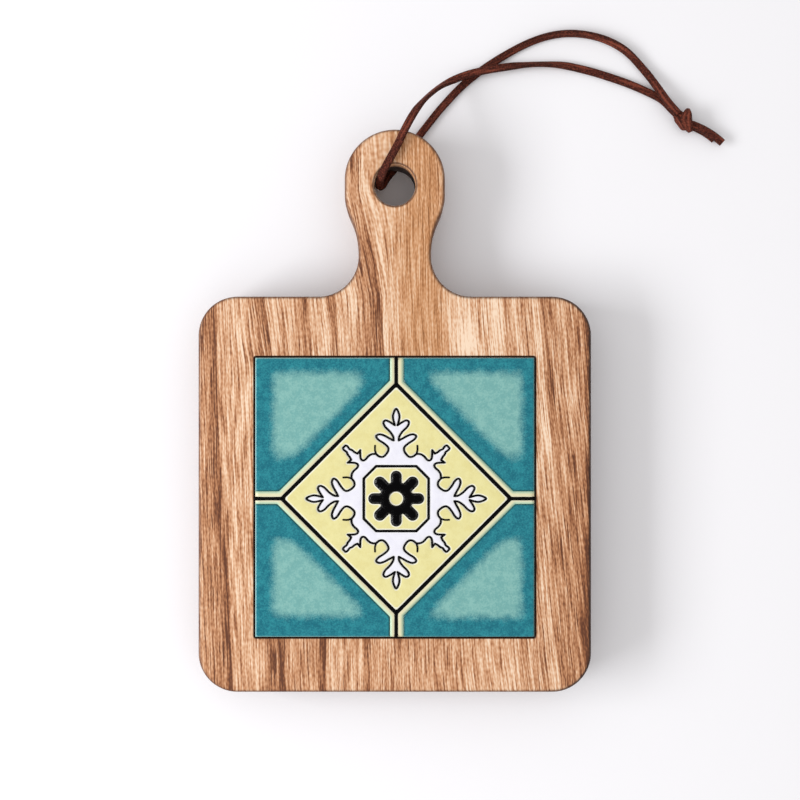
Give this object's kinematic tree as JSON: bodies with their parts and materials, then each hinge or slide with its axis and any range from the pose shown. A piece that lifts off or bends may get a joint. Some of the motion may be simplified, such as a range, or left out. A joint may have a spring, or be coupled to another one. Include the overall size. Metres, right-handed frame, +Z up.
{
  "type": "handled tile trivet",
  "caption": "Wooden board with a rounded handle and hanging hole, a glazed relief tile let into it, soft pads beneath and a knotted suede lace.",
  "frame": {"origin": "centre of the board's outline, on the surface that the pads stand on", "axes": "+Z up out of the glazed face, +Y along the handle towards its end, +X to the right seen from above"},
  "size_m": [0.1934, 0.2422, 0.0192],
  "materials": {
    "wood": "satin",
    "clay": "matte",
    "adhesive": "matte",
    "teal_glaze": "gloss",
    "cream_glaze": "gloss",
    "yellow_glaze": "gloss",
    "white_glaze": "gloss",
    "black_glaze": "gloss",
    "pad_rubber": "matte",
    "suede": "matte"
  },
  "bodies": {
    "root": {"board": "wood", "tile_adhesive": "adhesive", "tile_body": "clay", "teal_glaze_top_left": "teal_glaze", "teal_glaze_top_right": "teal_glaze", "teal_glaze_bottom_left": "teal_glaze", "teal_glaze_bottom_right": "teal_glaze", "cream_strip_top_left": "cream_glaze", "cream_strip_top_right": "cream_glaze", "cream_strip_bottom_left": "cream_glaze", "cream_strip_bottom_right": "cream_glaze", "yellow_glaze": "yellow_glaze", "white_glaze": "white_glaze", "octagon_glaze": "yellow_glaze", "diamond_line": "black_glaze", "rosette_line": "black_glaze", "octagon_line": "black_glaze", "flower_relief": "black_glaze", "foot_pad_front_left": "pad_rubber", "foot_pad_front_right": "pad_rubber", "foot_pad_back_left": "pad_rubber", "foot_pad_back_right": "pad_rubber", "lace_loop": "suede", "lace_knot": "suede", "lace_tail_long": "suede", "lace_tail_short": "suede"}
  },
  "joints": []
}
